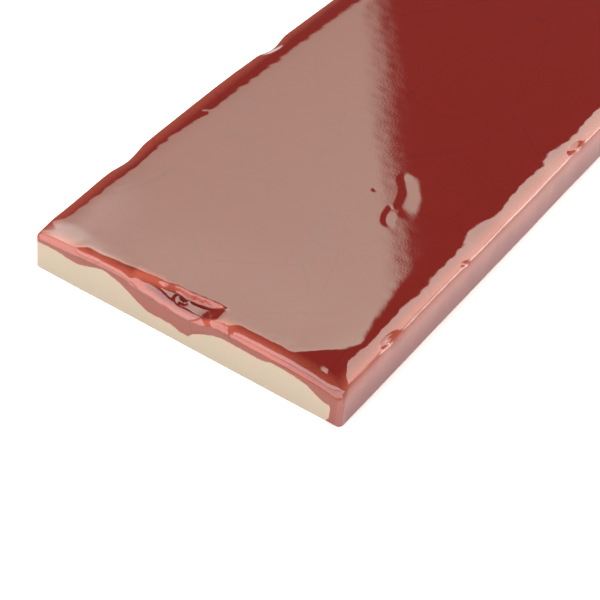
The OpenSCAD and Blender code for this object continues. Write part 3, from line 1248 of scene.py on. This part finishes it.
@dataclass(frozen=True)
class GlazeFinish:
    """A thick red crackle glaze, orange where it thins over the rim, with a film below it."""

    # its colours from deep to a mere film, and where it is milky, worn or smudged; the milky
    # colours hold painted shade low on the side and painted light high up
    deep: Colour = (0.16, 0.010, 0.007)
    mid: Colour = (0.26, 0.043, 0.027)
    thin: Colour = (0.44, 0.088, 0.056)
    film: Colour = (0.26, 0.070, 0.050)
    # the milky glaze darkened with painted shade, used low on the side
    milky_painted_shade: Colour = (0.20, 0.044, 0.044)
    # the milky glaze lightened with painted light, used high on the side
    milky_painted_light: Colour = (0.345, 0.112, 0.092)
    worn: Colour = (0.36, 0.115, 0.092)
    smudged: Colour = (0.15, 0.016, 0.015)
    # the depths where the film ends and where the thin, mid and deep colours are reached
    depths: tuple[float, ...] = (0.16, 0.3, 0.6, 0.95)
    # the heights between which the milky colour passes from its painted shade low on the side to
    # its painted light high up
    painted_light_rise: Pair = (1.0, 10.5)
    # noise, and how much of it goes to the depth, to the shade and to the milk's height
    cloud: Mottle = Mottle(9.0, 3.0)
    cloud_depth: float = 0.12
    cloud_shade: float = 0.1
    speckle: Mottle = Mottle(0.7)
    speckle_depth: float = 0.16
    streaks: Mottle = Mottle(3.0, 3.0, 0.6, (1.0, 0.6, 0.3))
    streak_height: float = 4.0
    # crackle: the cells' size, how they are bent, and the lines' width and shade
    crack_size: float = 19.0
    crack_bend: float = 0.16
    bend_scale: float = 1.4
    bend_detail: float = 3.0
    crack_width: float = 0.011
    crack_shade: float = 0.15
    # gloss: its roughness by state, the depths between which the film ends, and its ripple
    gloss: float = 0.03
    film_roughness: float = 0.42
    milky_roughness: float = 0.2
    smudge_roughness: float = 0.13
    film_end: Pair = (0.14, 0.24)
    ripple: Mottle = Mottle(0.5)
    ripple_depth: float = 0.003
    ior: float = 1.5

    def colour(self, sheet: ShaderSheet) -> Socket:
        """The glaze's colour: a ramp over its depth, clouded by noise, darker along the cracks, and
        on the milky side with painted shade low down and painted light high up.

        Args:
            sheet: the material that it is part of.

        Returns:
            The colour.
        """
        cloud = sheet.sway(self.cloud)
        place = (sheet.attribute("glaze_depth") + cloud * self.cloud_depth
                 + sheet.sway(self.speckle) * self.speckle_depth)
        stops = [(0.0, self.film), *zip(self.depths, (self.film, self.thin, self.mid, self.deep))]
        body = sheet.node("ShaderNodeValToRGB", {"stops": stops}, {"Fac": place})
        body = sheet.mix(sheet.attribute("smudge"), body, self.smudged)
        # painted light: the milky side goes from painted shade near the floor to painted light
        # towards the top, by height
        streaked = sheet.height() + sheet.sway(self.streaks) * self.streak_height
        milk = sheet.mix(streaked.between(*self.painted_light_rise), self.milky_painted_shade, self.milky_painted_light)
        body = sheet.mix(sheet.attribute("milky"), body, milk)
        body = sheet.mix(sheet.attribute("worn"), body, self.worn)
        lines = self.cracks(sheet) * (1.0 - sheet.attribute("milky"))
        return sheet.tint(body, 1.0 - lines * self.crack_shade + cloud * self.cloud_shade)

    def cracks(self, sheet: ShaderSheet) -> Socket:
        """Crackle lines: the edges of large cells, bent by noise.

        Args:
            sheet: the material that they are part of.

        Returns:
            1 on the lines and 0 elsewhere.
        """
        spot = sheet.place(1.0 / self.crack_size)
        bends = {"Vector": spot, "Scale": self.bend_scale, "Detail": self.bend_detail}
        bend = sheet.node("ShaderNodeTexNoise", None, bends, output="Color")
        bent = sheet.vector("ADD", {0: spot, 1: sheet.tint(bend, self.crack_bend)})
        cells = {"voronoi_dimensions": "3D", "feature": "DISTANCE_TO_EDGE"}
        edge = sheet.node("ShaderNodeTexVoronoi", cells, {"Vector": bent, "Scale": 1.0}, "Distance")
        return 1.0 - edge.between(0.0, self.crack_width)

    def surface(self, sheet: ShaderSheet) -> Socket:
        """The glaze: glossy, and rougher where it is a film, milky or smudged.

        Args:
            sheet: the material that it is part of.

        Returns:
            The shader.
        """
        milky = sheet.attribute("milky")
        filmy = (1.0 - sheet.attribute("glaze_depth").between(*self.film_end)) * (1.0 - milky)
        rough = (self.gloss + filmy * (self.film_roughness - self.gloss)
                 + milky * (self.milky_roughness - self.gloss)
                 + sheet.attribute("smudge") * (self.smudge_roughness - self.gloss))
        normal = sheet.bump(sheet.noise(self.ripple), self.ripple_depth)
        inputs = {"Base Color": self.colour(sheet), "Roughness": rough, "IOR": self.ior,
                  "Normal": normal}
        return sheet.node("ShaderNodeBsdfPrincipled", None, inputs)


@dataclass(frozen=True)
class BisqueFinish:
    """Bare buff clay: matt, faintly streaked, with fine grog and a blush below the glaze."""

    clay: Colour = (0.435, 0.370, 0.272)
    warm: Colour = (0.465, 0.355, 0.272)
    blush: Colour = (0.50, 0.355, 0.270)
    blush_width: float = 1.4
    # the clouds, and the shares of them between which they turn warm and take the blush
    cloud: Mottle = Mottle(2.6, 4.0, 0.6, (1.0, 1.0, 0.25))
    warm_clouds: Pair = (0.3, 0.7)
    blush_clouds: Pair = (0.25, 0.6)
    # the grog: its darkest shade, how much lighter it gets, and its relief
    grain: Mottle = Mottle(0.35, 3.0, 0.7)
    grain_dark: float = 0.94
    grain_light: float = 0.12
    grain_depth: float = 0.03
    roughness: float = 0.85

    def surface(self, sheet: ShaderSheet) -> Socket:
        """The bare clay: two buffs in streaky clouds, with a blush near the glaze, and grained.

        Args:
            sheet: the material that it is part of.

        Returns:
            The shader.
        """
        cloud, grain = sheet.noise(self.cloud), sheet.noise(self.grain)
        colour = sheet.mix(cloud.between(*self.warm_clouds), self.clay, self.warm)
        near_glaze = sheet.attribute("glaze_reach").between(-self.blush_width, 0.0)
        colour = sheet.mix(near_glaze * cloud.between(*self.blush_clouds), colour, self.blush)
        colour = sheet.tint(colour, self.grain_dark + grain * self.grain_light)
        normal = sheet.bump(grain, self.grain_depth)
        inputs = {"Base Color": colour, "Roughness": self.roughness, "Normal": normal}
        return sheet.node("ShaderNodeBsdfPrincipled", None, inputs)


@dataclass(frozen=True)
class FiredFinish:
    """Glaze over clay: the glaze wherever the mesh says it reaches, with a ragged edge."""

    glaze: GlazeFinish = GlazeFinish()
    bisque: BisqueFinish = BisqueFinish()
    ragged: Mottle = Mottle(1.1, 3.0, 0.6)
    raggedness: float = 0.5
    edge_softness: float = 0.12

    def material(self) -> bpy.types.Material:
        """Mixes clay and glaze by how far inside the glaze's ragged edge a place lies.

        Returns:
            The material.
        """
        sheet = ShaderSheet("fired_glaze_and_clay")
        edge = sheet.attribute("glaze_reach") + sheet.sway(self.ragged) * self.raggedness
        inputs = {0: edge.between(-self.edge_softness, self.edge_softness),
                  1: self.bisque.surface(sheet), 2: self.glaze.surface(sheet)}
        return sheet.finish(sheet.node("ShaderNodeMixShader", None, inputs))


# ---------------------------------------------------------------------------------------------
# Studio
# ---------------------------------------------------------------------------------------------


def direction(bearing: float, elevation: float) -> Vector:
    """The unit vector that points along a bearing and at a height over the horizon.

    Args:
        bearing: in degrees from +Y towards +X.
        elevation: in degrees.

    Returns:
        The vector.
    """
    turn, rise = math.radians(bearing), math.radians(elevation)
    level = math.cos(rise)
    return Vector((math.sin(turn) * level, math.cos(turn) * level, math.sin(rise)))


def stand(data: bpy.types.ID, place: Vector, back: Vector, roll: float) -> bpy.types.Object:
    """Stands a light or a camera at a place, turned about its own axis.

    Args:
        data: the light or the camera.
        place: where it stands, in metres.
        back: the direction that it faces away from.
        roll: how far it is turned in its own plane, in degrees.

    Returns:
        The object, linked to the scene.
    """
    holder = bpy.data.objects.new(data.name, data)
    turned = back.to_track_quat("Z", "Y").to_matrix()
    turned = turned @ Matrix.Rotation(math.radians(roll), 3, "Z")
    holder.matrix_world = Matrix.Translation(place) @ turned.to_4x4()
    bpy.context.scene.collection.objects.link(holder)
    return holder


@dataclass(frozen=True)
class SoftPanel:
    """A flat soft light that faces the tile.

    Attributes:
        name: the light's name.
        bearing: where it stands, in degrees from +Y towards +X.
        elevation: its height over the horizon, in degrees.
        distance: how far off it is, in metres.
        width: its width, in degrees as the tile sees it.
        height: its height, in degrees as the tile sees it.
        radiance: how bright its surface is.
        colour: its colour.
        roll: how far it is turned in its own plane, in degrees.
        fade: how bright its bottom edge is, as a share of its top edge.
        soft: how far in from its edges it is still dimming, as a share of its half width.
    """

    name: str
    bearing: float
    elevation: float
    distance: float
    width: float
    height: float
    radiance: float
    colour: Colour = (1.0, 1.0, 1.0)
    roll: float = 0.0
    fade: float = 1.0
    soft: float = 0.1

    def place(self) -> None:
        """Adds the light.

        Its size is twice its distance times the tangent of half the angle that it fills, and its
        power is its radiance times pi times its area.
        """
        wide, high = (2.0 * self.distance * math.tan(math.radians(angle) / 2.0)
                      for angle in (self.width, self.height))
        lamp = bpy.data.lights.new(self.name, "AREA")
        lamp.shape = "RECTANGLE"
        lamp.size, lamp.size_y = wide, high
        lamp.energy = self.radiance * math.pi * wide * high
        lamp.color = self.colour
        away = direction(self.bearing, self.elevation)
        stand(lamp, away * self.distance, away, self.roll).visible_camera = False
        self.shade(lamp)

    def shade(self, lamp: bpy.types.AreaLight) -> None:
        """Dims the light towards its edges, and evenly from its top edge to its bottom edge.

        Args:
            lamp: the light.
        """
        lamp.use_nodes = True
        sheet = LampSheet(lamp)
        spot = sheet.node("ShaderNodeNewGeometry", output="Parametric")
        across, up = (sheet.node("ShaderNodeSeparateXYZ", None, {"Vector": spot}, axis)
                      for axis in "XY")
        edges = 1.0
        for share in (across, 1.0 - across, up, 1.0 - up):
            edges = share.between(0.0, self.soft / 2.0) * edges
        level = (self.fade + (1.0 - self.fade) * up) * (2.0 / (1.0 + self.fade))
        sheet.glow(sheet.tint((1.0, 1.0, 1.0), edges * level))


@dataclass(frozen=True)
class Studio:
    """A pale floor, soft panels round it and a dim room."""

    floor_half: float = 3.0
    floor_colour: Colour = (0.93, 0.93, 0.93)
    floor_roughness: float = 0.9
    floor_glow: float = 0.32
    room: float = 0.15
    panels: tuple[SoftPanel, ...] = (
        SoftPanel("panel_back_left", -46.0, 45.0, 1.3, 30.2, 25.0, 4.2, (0.92, 1.0, 0.82),
                  roll=2.4, fade=0.39),
        SoftPanel("glow_back_left", -66.0, 47.0, 1.25, 40.0, 26.0, 3.2, soft=1.0),
        SoftPanel("panel_back_right", 4.0, 52.0, 2.5, 22.6, 31.0, 5.9, (1.0, 0.96, 0.84)),
        SoftPanel("panel_right_low", 33.0, 30.0, 1.6, 30.0, 32.0, 4.6, (1.0, 0.97, 0.9)),
        SoftPanel("panel_right_edge", 43.0, 17.0, 1.4, 14.0, 26.0, 8.5, (1.0, 0.97, 0.9)),
        SoftPanel("panel_front_high", -150.0, 46.5, 1.3, 50.0, 19.0, 5.2),
        SoftPanel("panel_front_low", -154.0, 21.9, 1.3, 62.0, 26.6, 4.1),
        SoftPanel("fill_right", 88.0, 14.0, 1.6, 60.0, 26.0, 1.7),
    )

    def build(self) -> None:
        """Makes the floor, the room and the panels."""
        half = self.floor_half
        mesh = bpy.data.meshes.new("studio_floor")
        corners = [(x * half, y * half, 0.0) for x, y in ((-1, -1), (1, -1), (1, 1), (-1, 1))]
        mesh.from_pydata(corners, [], [(0, 1, 2, 3)])
        floor = bpy.data.objects.new("studio_floor", mesh)
        bpy.context.scene.collection.objects.link(floor)
        floor.data.materials.append(self.floor_material())
        world = bpy.data.worlds.new("studio_room")
        world.use_nodes = True
        world.node_tree.nodes["Background"].inputs["Color"].default_value = (*[self.room] * 3, 1.0)
        bpy.context.scene.world = world
        for panel in self.panels:
            panel.place()
        bpy.context.scene.view_settings.view_transform = "Standard"

    def floor_material(self) -> bpy.types.Material:
        """A plain pale matt surface that glows a little.

        Returns:
            The material.
        """
        sheet = ShaderSheet("studio_floor")
        inputs = {"Base Color": self.floor_colour, "Roughness": self.floor_roughness,
                  "Emission Color": (1.0, 1.0, 1.0), "Emission Strength": self.floor_glow}
        return sheet.finish(sheet.node("ShaderNodeBsdfPrincipled", None, inputs))


@dataclass(frozen=True)
class TileCamera:
    """A long lens that looks down on the near right corner of the tile.

    Attributes:
        aim: the point on the face that the lens points at, in millimetres.
        distance: from that point to the lens, in millimetres.
        azimuth: 0 looks along +Y, and it grows as the camera walks towards +X, in degrees.
        elevation: degrees above the horizon.
        roll: how far the camera leans, in degrees.
        lens: focal length in millimetres.
        sensor: width of the sensor in millimetres.
        clip: how near and how far the lens sees, in metres.
    """

    aim: Triple = (16.5, -59.0, 10.0)
    distance: float = 414.9
    azimuth: float = 30.31
    elevation: float = 42.79
    roll: float = 5.56
    lens: float = 126.5
    sensor: float = 36.0
    clip: Pair = (0.01, 20.0)

    def build(self) -> None:
        """Makes the camera and gives it to the scene."""
        back = direction(self.azimuth, self.elevation)
        back.y = -back.y
        camera = bpy.data.cameras.new("camera")
        camera.lens, camera.sensor_width = self.lens, self.sensor
        camera.clip_start, camera.clip_end = self.clip
        place = (Vector(self.aim) + back * self.distance) * MM
        bpy.context.scene.camera = stand(camera, place, back, self.roll)


def main() -> None:
    """Builds the studio and the tile."""
    logging.basicConfig(level=logging.INFO, format="%(message)s")
    TileCamera().build()
    Studio().build()
    low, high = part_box(NODE)
    size = [(b - a) / MM for a, b in zip(low, high)]
    skin = TileSkin(width=size[0], length=size[1], thickness=size[2])
    tile = skin.build(GlazeExtent())
    tile.data.materials.append(FiredFinish().material())
    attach(tile, BODY)
    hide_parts(NODE)
    mesh = tile.data
    log.info("%s: %d vertices, %d faces", tile.name, len(mesh.vertices), len(mesh.polygons))


if __name__ == "__main__":
    main()
